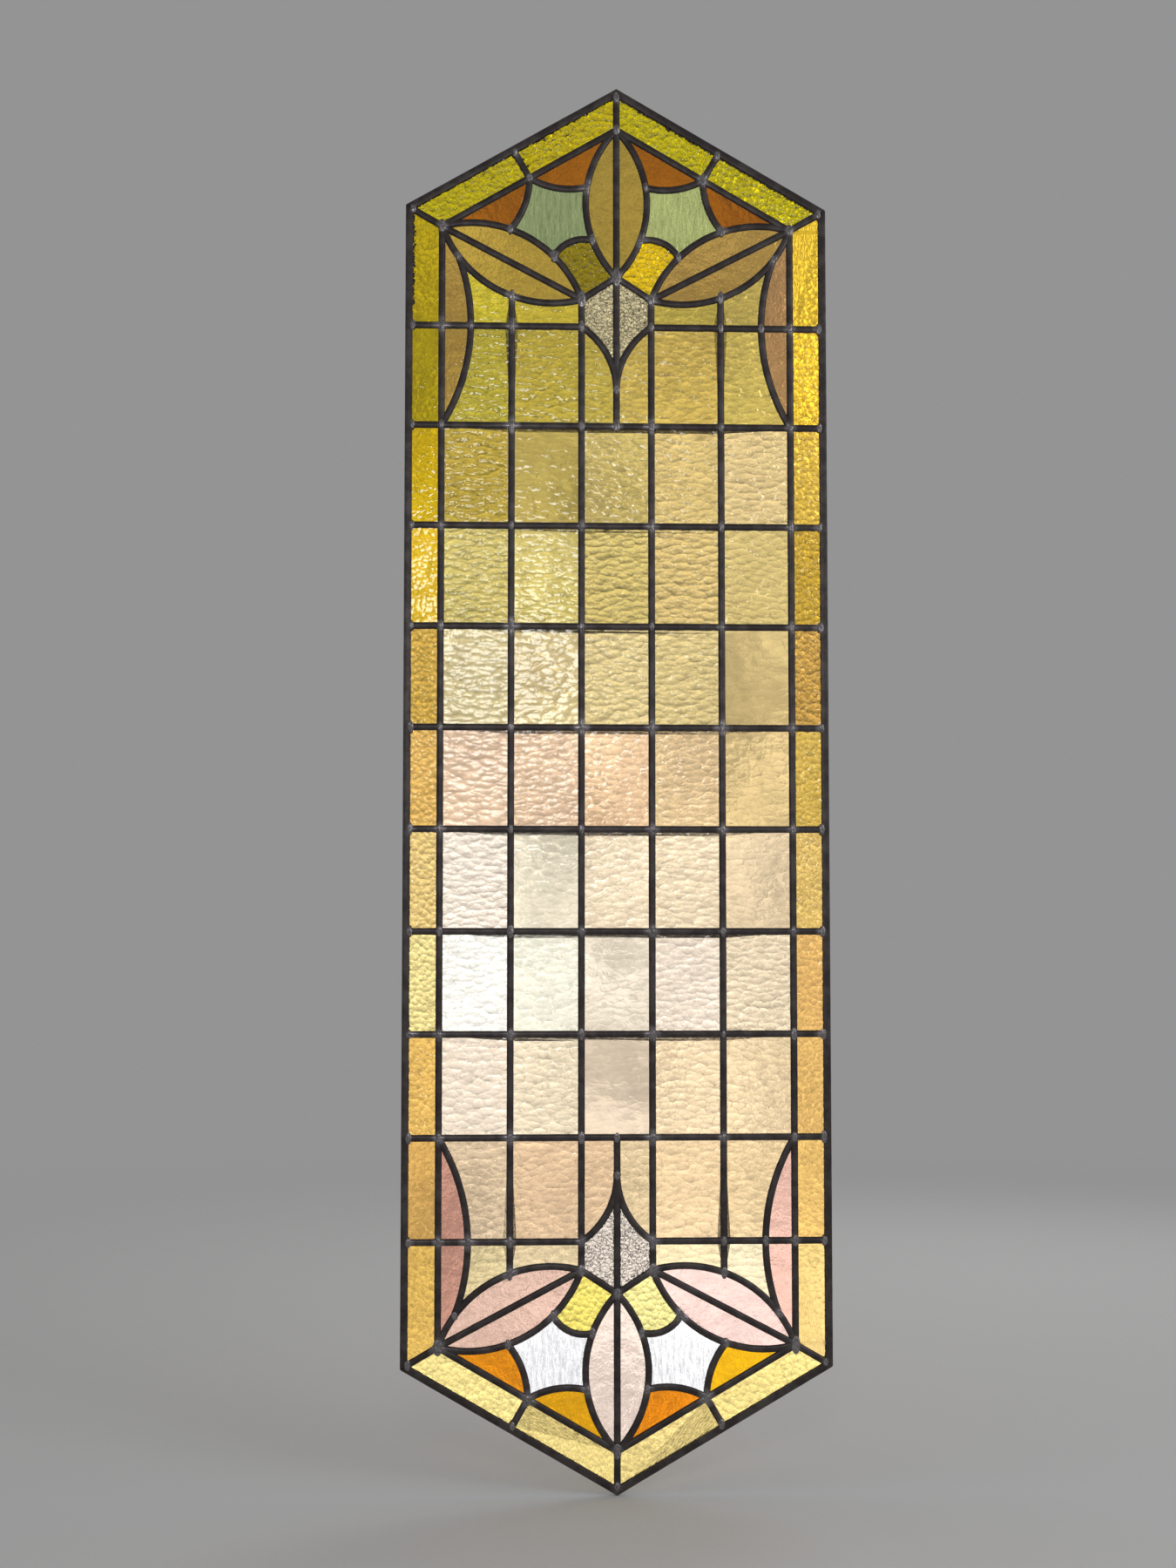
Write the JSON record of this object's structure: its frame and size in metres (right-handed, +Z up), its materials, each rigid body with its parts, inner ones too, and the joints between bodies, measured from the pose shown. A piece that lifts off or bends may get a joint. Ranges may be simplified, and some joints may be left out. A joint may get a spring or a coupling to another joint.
{
  "type": "leaded stained glass window light",
  "caption": "Tall hexagonal leaded light of coloured cathedral glass, with quarries, a border and petal ornament at both ends, to be built into an opening.",
  "frame": {"origin": "on the back face of the edge came, in the middle of its width, at the lowest corner of the light", "axes": "+Z up the height of the light; +Y out of its back, towards the rebate and the open air; the room side faces -Y; +X to the right seen from the room"},
  "size_m": [0.465, 0.0066, 1.5356],
  "materials": {
    "lead": "dull oxidised lead with brighter solder at the joints",
    "border_head_glass": "hammered golden cathedral glass, deeper in colour towards the head",
    "border_side_glass": "hammered golden cathedral glass, deeper in colour towards the head",
    "border_foot_glass": "hammered golden cathedral glass, deeper in colour towards the head",
    "quarry_glass": "rippled straw-coloured cathedral glass",
    "head_petal_glass": "softly hammered cathedral glass",
    "foot_petal_glass": "softly hammered cathedral glass",
    "head_star_glass": "streaky, wavy drawn glass",
    "foot_star_glass": "streaky, wavy drawn glass",
    "head_drop_glass": "hammered glass",
    "foot_drop_glass": "hammered glass",
    "head_spandrel_glass": "smooth hammered glass, deep orange",
    "foot_spandrel_glass": "smooth hammered glass, deep orange",
    "head_kite_glass": "clear granular glass, see-through with a fine pebbled face",
    "foot_kite_glass": "clear granular glass, see-through with a fine pebbled face",
    "head_lens_glass": "softly hammered cathedral glass",
    "foot_lens_glass": "softly hammered cathedral glass",
    "head_ground_glass": "rippled cathedral glass",
    "foot_ground_glass": "rippled cathedral glass"
  },
  "bodies": {
    "root": {"lead_came_net": "lead", "edge_came_left": "lead", "edge_came_right": "lead", "edge_came_head": "lead", "edge_came_foot": "lead", "border_head_left": "border_head_glass", "border_side_left": "border_side_glass", "border_foot_left": "border_foot_glass", "border_head_right": "border_head_glass", "border_side_right": "border_side_glass", "border_foot_right": "border_foot_glass", "head_petal_centre": "head_petal_glass", "head_kite": "head_kite_glass", "head_petal_left": "head_petal_glass", "head_star_left": "head_star_glass", "head_drop_left": "head_drop_glass", "head_spandrel_inner_left": "head_spandrel_glass", "head_spandrel_outer_left": "head_spandrel_glass", "head_lens_left": "head_lens_glass", "head_ground_outer_left": "head_ground_glass", "head_ground_inner_left": "head_ground_glass", "head_ground_centre_left": "head_ground_glass", "head_petal_right": "head_petal_glass", "head_star_right": "head_star_glass", "head_drop_right": "head_drop_glass", "head_spandrel_inner_right": "head_spandrel_glass", "head_spandrel_outer_right": "head_spandrel_glass", "head_lens_right": "head_lens_glass", "head_ground_outer_right": "head_ground_glass", "head_ground_inner_right": "head_ground_glass", "head_ground_centre_right": "head_ground_glass", "foot_petal_centre": "foot_petal_glass", "foot_kite": "foot_kite_glass", "foot_petal_left": "foot_petal_glass", "foot_star_left": "foot_star_glass", "foot_drop_left": "foot_drop_glass", "foot_spandrel_inner_left": "foot_spandrel_glass", "foot_spandrel_outer_left": "foot_spandrel_glass", "foot_lens_left": "foot_lens_glass", "foot_ground_outer_left": "foot_ground_glass", "foot_ground_inner_left": "foot_ground_glass", "foot_ground_centre_left": "foot_ground_glass", "foot_petal_right": "foot_petal_glass", "foot_star_right": "foot_star_glass", "foot_drop_right": "foot_drop_glass", "foot_spandrel_inner_right": "foot_spandrel_glass", "foot_spandrel_outer_right": "foot_spandrel_glass", "foot_lens_right": "foot_lens_glass", "foot_ground_outer_right": "foot_ground_glass", "foot_ground_inner_right": "foot_ground_glass", "foot_ground_centre_right": "foot_ground_glass", "quarry_row_1": "quarry_glass", "quarry_row_2": "quarry_glass", "quarry_row_3": "quarry_glass", "quarry_row_4": "quarry_glass", "quarry_row_5": "quarry_glass", "quarry_row_6": "quarry_glass", "quarry_row_7": "quarry_glass"}
  },
  "joints": []
}
